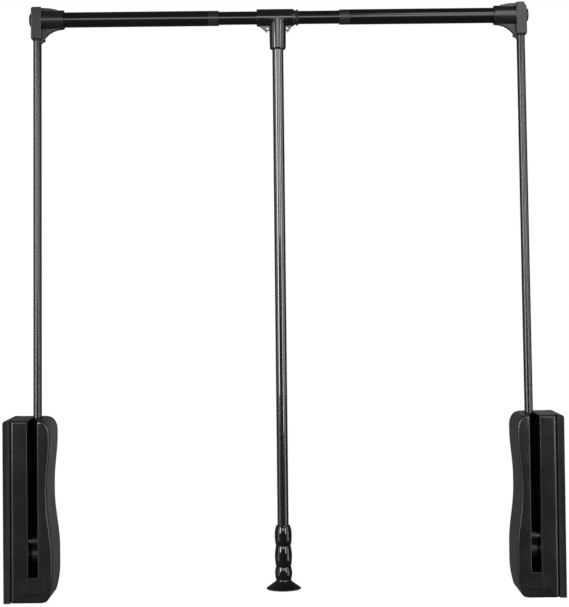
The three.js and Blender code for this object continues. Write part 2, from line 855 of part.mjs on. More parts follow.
function handleTube() {
  const foot = gripFootZ + gripFloor + seatGap;
  return tubeZ(handleRadius, handleRadius - tubeWall, foot, railZ - handleSeatDrop, teeX, railY);
}

// Grip: three swelling hand rests over a flared foot
function grip() {
  const neck = gripFootZ + flareHeight;
  const outline = [[0, gripFootZ], [flareRadius - flareRim, gripFootZ], [flareRadius, gripFootZ + flareRim]];
  outline.push([gripNeckRadius, neck]);
  let foot = neck;
  let low = gripNeckRadius;
  for (const length of [gripLowerBulge, gripUpperBulge, gripUpperBulge]) {
    for (let i = 1; i <= bulgeSteps; i += 1) {
      const share = i / bulgeSteps;
      const swell = Math.sqrt(Math.sin(Math.PI * share));
      const rest = low + (gripWaistRadius - low) * share;
      outline.push([rest + (gripBulgeRadius - rest) * swell, foot + length * share]);
    }
    foot += length;
    low = gripWaistRadius;
  }
  outline.push([handleRadius + seatGap, gripTopZ], [handleRadius + seatGap, gripFootZ + gripFloor]);
  outline.push([0, gripFootZ + gripFloor]);
  return turnedZ(outline, teeX, railY, tubeSides);
}

// Scene graph

function piece(name, manifold, finish, mirrored = false) {
  const material = new THREE.MeshStandardMaterial(finishes[finish]);
  const mesh = new THREE.Mesh(geometryOf(manifold, mirrored), material);
  mesh.name = name;
  return mesh;
}

const housingPieces = [
  ['mounting_tray', mountingTray, 'trayPlastic'],
  ['housing_cover', housingCover, 'coverPlastic'],
  ['bumper_block', bumperBlock, 'rubber'],
  ['pivot_pin', pivotPin, 'steel'],
  ['crosshead', crosshead, 'darkSteel'],
  ['damper_rod', damperRod, 'steel'],
  ['damper_cylinder', damperCylinder, 'darkSteel'],
  ['tension_spring', tensionSpring, 'steel'],
  ['anchor_bracket', anchorBracket, 'darkSteel'],
  ['anchor_screw', anchorScrew, 'steel'],
];

const framePieces = [
  ['pivot_bush', pivotBush, 'bushPlastic'],
  ['arm_lever', armLever, 'darkSteel'],
  ['crank_pin', crankPin, 'steel'],
  ['arm_tube', armTube, 'paintedTube'],
  ['elbow', elbow, 'elbowPlastic'],
  ['elbow_cap', elbowCap, 'elbowPlastic'],
  ['set_screw', setScrew, 'darkSteel'],
  ['outer_rail_tube', outerTube, 'paintedTube'],
  ['rail_end_ring', endRing, 'bushPlastic'],
];

const rod = new THREE.Group();
rod.name = 'pull_down_closet_rod';

for (const side of ['left', 'right']) {
  const mirrored = side === 'right';
  const housing = new THREE.Group();
  const frame = new THREE.Group();
  housing.position.x = mirrored ? wallSpan : 0;
  frame.position.x = housing.position.x;
  frame.rotation.x = -lean;
  for (const [name, make, finish] of housingPieces) {
    housing.add(piece(`${side}_${name}`, make(mirrored), finish, mirrored));
  }
  for (const [name, make, finish] of framePieces) {
    frame.add(piece(`${side}_${name}`, make(mirrored), finish, mirrored));
  }
  rod.add(housing, frame);
}

const rail = new THREE.Group();
rail.rotation.x = -lean;
rail.add(piece('centre_rail_tube', centreTube(), 'paintedTube'));
rail.add(piece('tee_bush', teeBush(), 'bushPlastic'));
rod.add(rail);

const handle = new THREE.Group();
handle.add(piece('tee', tee(), 'glossPlastic'));
handle.add(piece('handle_tube', handleTube(), 'paintedTube'));
handle.add(piece('grip', grip(), 'glossPlastic'));
rod.add(handle);

export default rod;
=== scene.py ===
"""Pull down closet rod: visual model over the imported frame. Lengths are millimetres unless said."""

import math

import bmesh
import bpy
import numpy as np
from mathutils import Matrix, Vector


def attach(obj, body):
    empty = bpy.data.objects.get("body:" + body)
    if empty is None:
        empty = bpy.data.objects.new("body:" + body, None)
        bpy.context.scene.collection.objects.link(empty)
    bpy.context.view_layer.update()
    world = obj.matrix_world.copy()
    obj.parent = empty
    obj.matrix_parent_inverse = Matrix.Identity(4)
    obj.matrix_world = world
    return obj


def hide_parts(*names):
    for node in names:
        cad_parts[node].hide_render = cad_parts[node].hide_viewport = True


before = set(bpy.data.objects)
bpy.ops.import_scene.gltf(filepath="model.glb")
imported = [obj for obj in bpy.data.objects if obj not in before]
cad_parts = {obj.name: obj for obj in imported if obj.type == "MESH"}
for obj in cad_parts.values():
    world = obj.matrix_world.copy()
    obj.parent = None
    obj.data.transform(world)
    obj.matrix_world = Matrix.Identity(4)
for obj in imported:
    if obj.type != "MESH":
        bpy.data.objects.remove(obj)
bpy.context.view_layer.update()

MM = 0.001
QUARTER = math.pi / 2
TINY = 1e-9  # the least length that something is divided by
SAME_POINT = 1e-6  # outline points nearer than this are one
SKIN_WELD, WELD = 2e-6, 1e-6  # metres: a new mesh's points, and a boolean's, nearer than this are joined
CREASE = math.radians(32)  # faces that meet at more than this keep a sharp edge

# Sizes that part.mjs also has
SPAN = 780
HOUSING_HEIGHT, FOOT_Z, TOP_Z, FRONT_Y, REAR_Y = 252.4, -61.2, 191.2, -45, 45
INSET, ARM_LENGTH, LEAN = 41, 762.8, math.radians(2.4)
TRAY, TRAY_FLOOR, TRAY_CORNER = 9.7, 3, 4
COVER_START, COVER_EDGE, COVER_WALL = 10, 65.4, 2.5
SHOULDER, WAIST_TOP, WAIST_FOOT, BELLY, TAPER = 227.4, 158.4, 146.4, 65, 42
WAIST_DEPTH, BELLY_RISE = 4.6, 2.4
SLOT_HALF, SLOT_FOOT_Z, SLOT_REAR = 7, -25.2, 16
BLOCK_HALF, BLOCK_HEIGHT = 9.5, 23.5
ARM_RADIUS, RAIL_RADIUS, CENTRE_RADIUS, TUBE_WALL, GAP = 6, 11, 9.5, 1.2, 0.3
RAIL_Y, RAIL_Z = ARM_LENGTH * math.sin(LEAN), ARM_LENGTH * math.cos(LEAN)
TEE_X = 388
PIN_RADIUS, HANDLE_RADIUS = 4, 8
TOP_RISE, TOP_REACH, FOOT_RISE, FOOT_REACH, TAPER_REACH = 19, 14, 6, 7, 7.5
RIM, REAR_CORNER, WALL_CORNER = 4, 10, 5
SOCKET_REACH, SOCKET_RADIUS, SCREW_DROP = 38.6, 14, 30.5

# Sizes of this script only
LIP = 1.2  # rounding of the slot's edge
PAST = 5  # how far a cutter goes past what it cuts


# Profiles and outlines: arrays of points in a plane

def bend(centre, size, start, end, steps):
    """Points on an ellipse about a centre, its half sizes given, from one angle to another."""
    angle = np.linspace(start, end, steps + 1)
    return np.stack([centre[0] + size[0] * np.cos(angle), centre[1] + size[1] * np.sin(angle)], 1)


def rounded(points, radii, steps=6):
    """Each corner of a closed outline becomes the arc that touches both its sides.

    The arc's centre lies on the corner's bisector, radius / sin(half angle) away.
    """
    corner = np.asarray(points, float)
    radius = np.broadcast_to(np.asarray(radii, float), len(corner))[:, None]
    back = np.roll(corner, 1, 0) - corner
    ahead = np.roll(corner, -1, 0) - corner
    back /= np.linalg.norm(back, axis=1, keepdims=True)
    ahead /= np.linalg.norm(ahead, axis=1, keepdims=True)
    half = np.arccos(np.clip((back * ahead).sum(1, keepdims=True), -1, 1)) / 2
    middle = back + ahead
    middle /= np.maximum(np.linalg.norm(middle, axis=1, keepdims=True), TINY)
    centre = corner + middle * radius / np.sin(half)
    first = corner + back * radius / np.tan(half) - centre
    last = corner + ahead * radius / np.tan(half) - centre
    share = np.linspace(0, 1, steps + 1)[None, :, None]
    turn = math.pi - 2 * half[:, :, None]
    arc = (np.sin((1 - share) * turn) * first[:, None] + np.sin(share * turn) * last[:, None]) / np.sin(turn)
    points = (centre[:, None] + arc).reshape(-1, 2)
    return points[np.linalg.norm(points - np.roll(points, 1, 0), axis=1) > SAME_POINT]


def inset(outline, depth):
    """A closed outline moved inwards: each point goes along the mean of its two edges' normals.

    A pointed corner goes farther than the depth, but no more than 1 / least times it.
    """
    least = 0.3
    edge = np.roll(outline, -1, 0) - outline
    normal = np.stack([-edge[:, 1], edge[:, 0]], 1)
    normal /= np.maximum(np.linalg.norm(normal, axis=1, keepdims=True), TINY)
    mean = normal + np.roll(normal, 1, 0)
    mean /= np.maximum(np.linalg.norm(mean, axis=1, keepdims=True), TINY)
    spread = np.maximum((mean * normal).sum(1, keepdims=True), least)
    return outline + mean * depth / spread


# Meshes

def surface(name, grid, wrap_rows=False, capped=False):
    """Mesh over a grid of points, rows by ring. A face joins each four neighbours on the grid.

    Rings are closed. Wrapped rows join the last ring to the first, and caps close both ends.
    """
    rows, count = grid.shape[:2]
    index = np.arange(rows * count).reshape(rows, count)
    low = index if wrap_rows else index[:-1]
    high = np.roll(index, -1, 0) if wrap_rows else index[1:]
    quads = np.stack([low, np.roll(low, -1, 1), np.roll(high, -1, 1), high], -1).reshape(-1, 4).tolist()
    if capped:
        quads += [index[0, ::-1].tolist(), index[-1].tolist()]
    mesh = bpy.data.meshes.new(name)
    mesh.from_pydata((grid.reshape(-1, 3) * MM).tolist(), [], quads)
    work = bmesh.new()
    work.from_mesh(mesh)
    bmesh.ops.remove_doubles(work, verts=work.verts, dist=SKIN_WELD)
    bmesh.ops.dissolve_degenerate(work, edges=work.edges, dist=SKIN_WELD / 2)
    bmesh.ops.recalc_face_normals(work, faces=work.faces)
    work.to_mesh(mesh)
    work.free()
    piece = bpy.data.objects.new(name, mesh)
    bpy.context.collection.objects.link(piece)
    return piece


def turned(name, profile, axis, centre=(0, 0, 0), sides=96, tube=False):
    """Surface of revolution: each profile point (radius, place) goes round the axis in a circle."""
    radius, along = np.asarray(profile, float).T
    angle = np.linspace(0, 2 * math.pi, sides, endpoint=False)
    one = radius[:, None] * np.cos(angle)
    two = radius[:, None] * np.sin(angle)
    place = np.broadcast_to(along[:, None], one.shape)
    order = {"X": (place, one, two), "Y": (one, place, two), "Z": (one, two, place)}[axis]
    return surface(name, np.stack(order, -1) + np.asarray(centre, float), wrap_rows=tube)


def tube(name, radius, bore, start, end, axis, centre=(0, 0, 0), edge=0.25, sides=96):
    """A tube with rounded rims: its wall's outline goes round the axis."""
    outline = rounded([(bore, start), (radius, start), (radius, end), (bore, end)], edge, 3)
    return turned(name, outline, axis, centre, sides, tube=True)


def rod(name, radius, start, end, axis, centre=(0, 0, 0), edge=0.0, sides=48):
    """A round bar, its two rims rounded where an edge is given."""
    rim = bend((radius - edge, start + edge), (edge, edge), -QUARTER, 0, 4 if edge else 0)
    top = bend((radius - edge, end - edge), (edge, edge), 0, QUARTER, 4 if edge else 0)
    return turned(name, np.vstack([[(0, start)], rim, top, [(0, end)]]), axis, centre, sides)


def slab(name, outline, start, end, edge=0.0):
    """An outline in X and Z carried along Y; near both faces it draws in along a quarter circle."""
    angle = np.linspace(0, QUARTER, 5) if edge else np.array([QUARTER])
    depth = edge * (1 - np.sin(angle))
    near = start + edge * (1 - np.cos(angle))
    places = np.concatenate([near, (start + end - near)[::-1]])
    depths = np.concatenate([depth, depth[::-1]])
    rings = np.stack([inset(outline, d) for d in depths])
    across = np.broadcast_to(places[:, None], rings.shape[:2])
    return surface(name, np.stack([rings[..., 0], across, rings[..., 1]], -1), capped=True)


def box(name, low, high):
    """A plain block between two corners."""
    (x0, y0, z0), (x1, y1, z1) = low, high
    outline = np.array([(x0, z0), (x1, z0), (x1, z1), (x0, z1)], float)
    return slab(name, outline, y0, y1)


def combined(operation, whole, parts):
    """Joins solids to the first one or cuts them from it, and welds the seams after each step."""
    for part in parts:
        step = whole.modifiers.new("step", "BOOLEAN")
        step.operation, step.object, step.solver = operation, part, "EXACT"
        graph = bpy.context.evaluated_depsgraph_get()
        result = bpy.data.meshes.new_from_object(whole.evaluated_get(graph))
        whole.modifiers.clear()
        work = bmesh.new()
        work.from_mesh(result)
        bmesh.ops.remove_doubles(work, verts=work.verts, dist=WELD)
        bmesh.ops.dissolve_degenerate(work, edges=work.edges, dist=WELD / 2)
        work.to_mesh(result)
        work.free()
        whole.data = result
        bpy.data.objects.remove(part)
    return whole


def placed(piece, leaned=False, mirrored=False):
    """Turns a piece about the pivot axis by the arms' lean, and mirrors it across the rod's middle."""
    mesh = piece.data
    if leaned:
        mesh.transform(Matrix.Rotation(-LEAN, 4, "X"))
    if mirrored:
        mesh.transform(Matrix.Translation((SPAN * MM, 0, 0)) @ Matrix.Scale(-1, 4, (1, 0, 0)))
        mesh.flip_normals()
    return piece


def dress(piece, node, body, finish):
    """Gives a piece its material, its smooth shading with sharp creases, and its place in the frame."""
    mesh = piece.data
    mesh.materials.clear()
    mesh.materials.append(finish)
    mesh.shade_smooth()
    mesh.set_sharp_from_angle(angle=CREASE)
    shading = piece.modifiers.new("flat faces", "WEIGHTED_NORMAL")
    shading.keep_sharp = True
    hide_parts(node)
    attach(piece, body)


# Materials

CLOUD = 28  # width of the clouds in the finish
POINTED = (0.52, 0.62)  # Pointiness where wear begins and where it is full


def linear(code):
    """An sRGB hex value as linear colour with full alpha."""
    part = np.array([(code >> shift) & 255 for shift in (16, 8, 0)]) / 255
    return (*np.where(part <= 0.04045, part / 12.92, ((part + 0.055) / 1.055) ** 2.4), 1.0)


def add(tree, kind, settings=None, inputs=None, links=None):
    """A node with its settings, its inputs' values, and its links from (node, output)."""
    node = tree.nodes.new(kind)
    for key, value in (settings or {}).items():
        setattr(node, key, value)
    for key, value in (inputs or {}).items():
        node.inputs[key].default_value = value
    for key, (source, output) in (links or {}).items():
        tree.links.new(source.outputs[output], node.inputs[key])
    return node


def material(name, colour, worn, roughness, grain, bump, metal=0.0, ior=None,
             kind="ShaderNodeTexNoise", coat=0.0):
    """A shader over grain, clouds and worn edges; the first two lie on Object coordinates.

    Grain, in millimetres, drives the bump, given as its strength and its height in millimetres.
    A cloud some centimetres wide shifts the roughness between its two values and the colour's
    brightness a little. Pointed edges take the worn colour.
    """
    made = bpy.data.materials.new(name)
    made.use_nodes = True
    tree = made.node_tree
    shader = tree.nodes["Principled BSDF"]
    place = add(tree, "ShaderNodeTexCoord")
    fine = add(tree, kind, inputs={"Scale": 1 / (grain * MM)}, links={"Vector": (place, "Object")})
    cloud = add(tree, "ShaderNodeTexNoise", inputs={"Scale": 1 / (CLOUD * MM), "Detail": 4.0},
                links={"Vector": (place, "Object")})
    spread = add(tree, "ShaderNodeMapRange",
                 inputs={"From Min": 0.3, "From Max": 0.7, "To Min": roughness[0], "To Max": roughness[1]},
                 links={"Value": (cloud, "Fac")})
    tree.links.new(spread.outputs["Result"], shader.inputs["Roughness"])
    shape = add(tree, "ShaderNodeNewGeometry")
    edges = add(tree, "ShaderNodeMapRange", inputs={"From Min": POINTED[0], "From Max": POINTED[1]},
                links={"Value": (shape, "Pointiness")})
    tint = add(tree, "ShaderNodeMix", {"data_type": "RGBA"}, {6: linear(colour), 7: linear(worn)},
               {0: (edges, "Result")})
    value = add(tree, "ShaderNodeMapRange", inputs={"To Min": 0.88, "To Max": 1.12},
                links={"Value": (cloud, "Fac")})
    shade = add(tree, "ShaderNodeHueSaturation", links={"Color": (tint, 2), "Value": (value, "Result")})
    tree.links.new(shade.outputs["Color"], shader.inputs["Base Color"])
    height = "Distance" if kind == "ShaderNodeTexVoronoi" else "Fac"
    relief = add(tree, "ShaderNodeBump", inputs={"Strength": bump[0], "Distance": bump[1] * MM},
                 links={"Height": (fine, height)})
    tree.links.new(relief.outputs["Normal"], shader.inputs["Normal"])
    shader.inputs["Metallic"].default_value = metal
    shader.inputs["Coat Weight"].default_value = coat
    if ior:
        shader.inputs["IOR"].default_value = ior
    return made


# ABS moulded against a finely spark-eroded tool: black, an even fine grain, a satin sheen
COVER_ABS = material("spark textured ABS", 0x0e0f10, 0x1a1b1d, (0.18, 0.25), 0.9, (0.06, 0.04), ior=1.53)
# The same ABS from a polished tool: the same sheen over slow, shallow waves, and a little blacker
TRAY_ABS = material("satin moulded ABS", 0x0c0d0e, 0x18191b, (0.18, 0.25), 2.4, (0.02, 0.03), ior=1.53)
# Glass filled nylon: satin, with a slight mottle from the fibres
NYLON = material("satin moulded nylon", 0x0d0e10, 0x1a1b1d, (0.25, 0.28), 2.4, (0.03, 0.03), ior=1.53)
# Stove enamel on drawn steel tube: deep black and smooth, a narrow line of light along the tube
ENAMEL = material("stove enamelled steel tube", 0x050606, 0x0c0d0d, (0.18, 0.19), 9.0, (0.01, 0.02), ior=1.5)
# The handle's tube is enamelled and lacquered: a brighter, sharper line of light
GLOSS_ENAMEL = material("lacquered steel tube", 0x08090a, 0x121314, (0.15, 0.16), 9.0, (0.01, 0.02), ior=1.5,
                        coat=0.8)
# Semi-gloss ABS from a lapped tool: the tee's highlights stay crisp
TEE_ABS = material("semi-gloss moulded ABS", 0x0a0b0c, 0x151617, (0.13, 0.145), 6.0, (0.02, 0.03), ior=1.53)
# ABS from a polished tool: near mirror gloss over deep black
GLOSS_ABS = material("polished moulded ABS", 0x08080a, 0x101012, (0.05, 0.11), 6.0, (0.04, 0.05), ior=1.53)
# Carbon black rubber: dull, a faint grain
RUBBER = material("moulded black rubber", 0x070708, 0x0f0f10, (0.26, 0.34), 0.8, (0.05, 0.05), ior=1.52)
# Acetal: smooth and waxy black
ACETAL = material("moulded black acetal", 0x141416, 0x1f2022, (0.24, 0.34), 1.5, (0.06, 0.04), ior=1.48)
# Zinc plated and passivated steel: light grey, fine crystals
ZINC = material("zinc plated steel", 0xb4b7ba, 0xd2d4d6, (0.28, 0.42), 0.7, (0.2, 0.04), metal=1.0,
                kind="ShaderNodeTexVoronoi")
# Phosphated and oiled steel: dark grey, mottled
PHOSPHATE = material("phosphated steel", 0x34363a, 0x55585c, (0.38, 0.55), 0.9, (0.25, 0.05), metal=0.9,
                     kind="ShaderNodeTexVoronoi")

# Pieces that keep their CAD mesh, each with its material
KEPT = {
    "pivot_pin": ZINC, "crosshead": PHOSPHATE, "damper_rod": ZINC, "damper_cylinder": PHOSPHATE,
    "tension_spring": ZINC, "anchor_bracket": PHOSPHATE, "anchor_screw": ZINC, "pivot_bush": ACETAL,
    "arm_lever": PHOSPHATE, "crank_pin": ZINC,
}


# Camera, set where the photograph was taken from

def set_camera():
    """The camera looks along its own -Z; yaw, pitch and roll turn its three axes in that order.

    Focal length and shift were fitted in the photograph's pixels, on its longer side.
    """
    yaw, pitch, roll = -0.00124, 0.02605, -0.01123
    place = Vector((391.74, -2223.94, 376.71))
    photo_height, focal, shift, sensor = 607, 1566.42, -60, 36
    turn = Matrix.Rotation(yaw, 3, "Z")
    ahead = turn @ Vector((0, math.cos(pitch), math.sin(pitch)))
    right = turn @ Vector((1, 0, 0))
    up = right.cross(ahead)
    rolled_right = math.cos(roll) * right + math.sin(roll) * up
    rolled_up = math.cos(roll) * up - math.sin(roll) * right
    lens = bpy.data.cameras.new("camera")
    lens.lens = focal * sensor / photo_height
    lens.shift_y = shift / photo_height
    lens.clip_end = 60
    camera = bpy.data.objects.new("camera", lens)
    axes = Matrix((rolled_right, rolled_up, -ahead)).transposed().to_4x4()
    camera.matrix_world = Matrix.Translation(place * MM) @ axes
    bpy.context.collection.objects.link(camera)
    bpy.context.scene.camera = camera


# Housing covers

def smooth_step(share):
    """Half a cosine wave from 0 to 1."""
    return (1 - np.cos(math.pi * np.clip(share, 0, 1))) / 2


def cover_reach(height):
    """How far the cover reaches from the wall: waist and belly blend in cosines, ends are ellipses.

    Towards the foot it also draws in with the square of the distance below the belly.
    """
    waist = smooth_step((SHOULDER - height) / (SHOULDER - WAIST_TOP))
    belly = smooth_step((WAIST_FOOT - height) / (WAIST_FOOT - BELLY))
    top = np.clip(1 - (HOUSING_HEIGHT - height) / TOP_RISE, 0, 1)
    foot = np.clip(1 - height / FOOT_RISE, 0, 1)
    taper = np.clip(1 - height / TAPER, 0, 1)
    return (COVER_EDGE + (WAIST_DEPTH + BELLY_RISE) * belly - WAIST_DEPTH * waist
            - TOP_REACH * (1 - np.sqrt(1 - top ** 2)) - FOOT_REACH * (1 - np.sqrt(1 - foot ** 2))
            - TAPER_REACH * taper ** 2)


def rim_inset(height):
    """How far front and rear draw in at the top and foot, along a quarter circle."""
    share = 1 - np.minimum(np.minimum(height, HOUSING_HEIGHT - height), RIM) / RIM
    return RIM * (1 - np.sqrt(1 - share ** 2))


def cover_heights():
    """Heights above the foot, closer together where the ends are rounded."""
    quarter = np.linspace(0, QUARTER, 15)
    fine = np.linspace(0, QUARTER, 8)
    return np.unique(np.round(np.concatenate([
        RIM * (1 - np.cos(fine)), FOOT_RISE * (1 - np.cos(quarter)),
        np.linspace(FOOT_RISE, HOUSING_HEIGHT - TOP_RISE, 58),
        HOUSING_HEIGHT - TOP_RISE * (1 - np.cos(quarter)), HOUSING_HEIGHT - RIM * (1 - np.cos(fine)),
    ]), 4))


def cover_skin(name, depth):
    """Rings up the housing: a front corner, a wide rear corner and the wall side, at one depth."""
    height = cover_heights()[:, None]
    if depth:
        height = depth + height * (HOUSING_HEIGHT - 2 * depth) / HOUSING_HEIGHT
    share = (height - depth) / (HOUSING_HEIGHT - 2 * depth)
    reach = cover_reach(share * HOUSING_HEIGHT if depth else height) - depth
    front = FRONT_Y + rim_inset(height) + depth
    rear = REAR_Y - rim_inset(height) - depth
    small, wide = RIM - depth, REAR_CORNER - depth
    turn = np.linspace(-QUARTER, 0, 9)
    sweep = np.linspace(0, QUARTER, 19)
    x = [reach - small + small * np.cos(turn), reach - wide + wide * np.cos(sweep)]
    y = [front + small + small * np.sin(turn), rear - wide + wide * np.sin(sweep)]
    level = np.zeros_like(front)
    if depth:
        side = np.full_like(front, COVER_START - PAST)
        back = np.linspace(2 * QUARTER, 3 * QUARTER, 9)
        lip = front - depth + WALL_CORNER
        x += [side, side, COVER_START + WALL_CORNER + (WALL_CORNER - depth) * np.cos(back) + level]
        y += [rear, lip, lip + (WALL_CORNER - depth) * np.sin(back)]
    else:
        lip = np.linspace(QUARTER, 2 * QUARTER, 5)
        back = np.linspace(2 * QUARTER, 3 * QUARTER, 11)
        x += [COVER_START + 1 + np.cos(lip) + level,
              COVER_START + WALL_CORNER + WALL_CORNER * np.cos(back) + level]
        y += [rear - 1 + np.sin(lip), front + WALL_CORNER + WALL_CORNER * np.sin(back)]
    x, y = np.concatenate(x, 1), np.concatenate(y, 1)
    z = np.broadcast_to(FOOT_Z + height, x.shape)
    return surface(name, np.stack([x, y, z], -1), capped=True)


def flared(end):
    """Depths from in front of a face to an end, and the slot's widening at each: a quarter circle."""
    depth = np.concatenate([[-PAST, 0], LIP * (1 - np.cos(np.linspace(0, QUARTER, 7)[1:])), [end]])
    short = np.clip(LIP - depth, 0, LIP)
    return depth, np.where(depth < 0, LIP, LIP - np.sqrt(np.clip(LIP ** 2 - short ** 2, 0, None)))


def slot_cutter(name):
    """The slot's space: a tall rectangle that widens at the front face."""
    depth, flare = flared(SLOT_REAR - FRONT_Y)
    half, foot = SLOT_HALF + flare, SLOT_FOOT_Z - flare
    high = np.full_like(half, TOP_Z + PAST)
    x = np.stack([INSET - half, INSET + half, INSET + half, INSET - half], 1)
    z = np.stack([foot, foot, high, high], 1)
    y = np.broadcast_to((FRONT_Y + depth)[:, None], x.shape)
    return surface(name, np.stack([x, y, z], -1), capped=True)


def slot_top_cutter(name):
    """The same widening where the slot comes out through the housing's top."""
    depth, flare = flared(20)
    half, rear = SLOT_HALF + flare, SLOT_REAR + flare
    x = np.stack([INSET - half, INSET + half, INSET + half, INSET - half], 1)
    y = np.stack([np.full_like(half, FRONT_Y - PAST)] * 2 + [rear, rear], 1)
    z = np.broadcast_to((TOP_Z - depth)[:, None], x.shape)
    return surface(name, np.stack([x, y, z], -1), capped=True)


def cover(name):
    """The outer skin less the inner one, with the slot's ribs, the pin's boss and the cuts."""
    inside_wall = COVER_WALL / 2
    boss_wall = float(cover_reach(np.array(-FOOT_Z))) - inside_wall
    boss_start = boss_wall - 15.75
    rib_half, rib_rear = SLOT_HALF + 2, FRONT_Y + 15
    whole = combined("DIFFERENCE", cover_skin(name, 0), [cover_skin("inside", COVER_WALL)])
    whole = combined("UNION", whole, [
        box("ribs", (INSET - rib_half, FRONT_Y + inside_wall, SLOT_FOOT_Z),
            (INSET + rib_half, rib_rear, TOP_Z - inside_wall)),
        rod("boss", 9, boss_start, boss_wall, "X"),
    ])
    return combined("DIFFERENCE", whole, [
        slot_cutter("slot"),
        slot_top_cutter("slot_top"),
        box("window", (INSET - BLOCK_HALF - GAP, FRONT_Y - PAST, SLOT_FOOT_Z - BLOCK_HEIGHT - 2 * GAP),
            (INSET + BLOCK_HALF + GAP, rib_rear, SLOT_FOOT_Z)),
        rod("bore", PIN_RADIUS + GAP, boss_start - PAST, boss_wall - 5, "X"),
    ])


def tray(name):
    """The wall plate: a rim round a sunk floor, its wall corner rounded at the top, with bosses."""
    edge, wall, rail_half = 0.5, 4, 32.5
    in_floor = TRAY_FLOOR / 2
    outline = rounded([(0, FOOT_Z), (TRAY, FOOT_Z), (TRAY, TOP_Z), (0, TOP_Z)], [edge, edge, edge, TRAY_CORNER])
    whole = combined("DIFFERENCE", slab(name, outline, FRONT_Y, REAR_Y, edge), [
        box("sunk", (TRAY_FLOOR, FRONT_Y + wall, FOOT_Z + wall), (TRAY + PAST, REAR_Y - wall, TOP_Z - wall))])
    screw = (0, -23.6, TOP_Z - 40)
    rails = [box("rail", (in_floor, y, -rail_half), (14.7, y + 3, rail_half)) for y in (-38, -12.3)]
    whole = combined("UNION", whole, [
        rod("boss", 8, in_floor, 12, "X"),
        rod("screw_boss", 4, in_floor, TRAY - 0.05, "X", screw, 0.3), *rails])
    sunk_hole = [(0, -PAST), (2.3, -PAST), (2.3, 1.2), (4.6, 3.5), (4.6, 8), (0, 8)]
    holes = [turned("hole", sunk_hole, "X", (0, 22, z), 48) for z in (TOP_Z - 25, FOOT_Z + 22)]
    return combined("DIFFERENCE", whole, [
        rod("bore", PIN_RADIUS + GAP, TRAY_FLOOR, 12 + PAST, "X"),
        rod("screw_bore", 2.05, TRAY_FLOOR, TRAY + PAST, "X", screw), *holes])


def bumper(name):
    """A rounded rubber block that stands just proud of the cover."""
    top = SLOT_FOOT_Z - GAP
    outline = rounded([(INSET - BLOCK_HALF, top - BLOCK_HEIGHT), (INSET + BLOCK_HALF, top - BLOCK_HEIGHT),
                       (INSET + BLOCK_HALF, top), (INSET - BLOCK_HALF, top)], 1.0)
    return slab(name, outline, FRONT_Y - 1.5, FRONT_Y + 12.5, 0.8)


# Arms, elbows and rail, upright on the pivot axis before they lean back

def elbow(name):
    """A flat-faced block, a round socket, a ramp and a web, joined and bored."""
    x, z = INSET, ARM_LENGTH
    wide, high = (4, 7.2) if name.startswith("right") else (2, 2)
    top, rim = z + 17, 0.9
    face = rounded([(x - 7.6, z - 29.6), (x + 7.4, z - 29.6), (x + 7.4, top), (x - 7.6 + wide, top),
                    (x - 7.6, top - high)], [1.6, 1.6, 1.4, 1.2, 1.2])
    ramp = rounded([(x - 2, z - 2), (x + 30, z - 2), (x + 30, z + 13.7), (x + 18, z + 16),
                    (x + 7.4, z + 16.6), (x - 2, z + 16.6)], [0, 0, 1, 8, 3, 0])
    hollow = bend((x + 36, z - 48), (31.8, 34), QUARTER, math.pi - math.atan2(14, 31.8), 24)
    web = np.vstack([[(x - 1, z + 1), (x + 36, z + 1)], hollow, [(x - 1, z - 34)]])
    mouth = x + SOCKET_REACH
    socket = np.vstack([[(0, mouth)], bend((SOCKET_RADIUS - rim, mouth - rim), (rim, rim), QUARTER, 0, 5),
                        [(SOCKET_RADIUS, x - 3), (0, x - 3)]])
    whole = combined("UNION", slab(name, face, -14.5, 14.5, 1.3), [
        slab("ramp", ramp, -8, 8, 0.8), slab("web", web[::-1], -4, 4, 0.7),
        turned("socket", socket, "X", (0, 0, z)),
    ])
    return combined("DIFFERENCE", whole, [
        rod("rail_bore", RAIL_RADIUS + GAP, x + 14, x + 44, "X", (0, 0, z), sides=96),
        rod("arm_bore", ARM_RADIUS + GAP, z - 39, z - 7.7, "Z", (x, 0, 0)),
        rod("cap_bore", 4 + GAP, x - 13, x + 3.3, "X", (0, 0, z)),
        rod("screw_bore", 2 + GAP, x, x + 38, "X", (0, 0, z - SCREW_DROP)),
    ])


def elbow_cap(name):
    """A domed plug: a shallow crown over a stem. The crown's curve is flatter than an ellipse."""
    seat, radius, dome = INSET - 7.9, 9.5, 2.8
    start = seat - 1.2
    crown = bend((0, start), (radius, dome), -QUARTER, 0, 12)
    crown[:, 0] = np.sqrt(np.clip(1 - ((start - crown[:, 1]) / dome) ** 2.6, 0, 1)) * radius
    profile = np.vstack([crown, [(radius, seat), (4, seat), (4, seat + 10.6), (0, seat + 10.6)]])
    return turned(name, profile, "X", (0, 0, ARM_LENGTH))


def set_screw(name):
    """A grub screw with a hexagon socket in its outer end."""
    start = INSET + ARM_RADIUS + GAP
    place = (0, 0, ARM_LENGTH - SCREW_DROP)
    key = [(0, start + 3.2), (1.15, start + 3.2), (1.15, start + 6), (0, start + 6)]
    return combined("DIFFERENCE", rod(name, 2, start, start + 5.2, "X", place, 0.3),
                    [turned("key", key, "X", place, 6)])


def tee_bush(name):
    """A bush in the tee: its neck and the pointed rim of its flange show past the tee's right end."""
    rim = TEE_X + 26.7
    outline = [(9.8, TEE_X - 28), (11.1, TEE_X - 28), (11.1, TEE_X + 22), (10.5, TEE_X + 22), (10.5, rim),
               (11.95, rim + 1.4), (11.95, rim + 1.9), (10.5, rim + 3.3), (9.8, rim + 3.3)]
    radii = [0.2, 0.2, 0.1, 0.1, 0.3, 0.2, 0.2, 0.3, 0.2]
    return turned(name, rounded(outline, radii, 4), "X", (0, 0, ARM_LENGTH), tube=True)


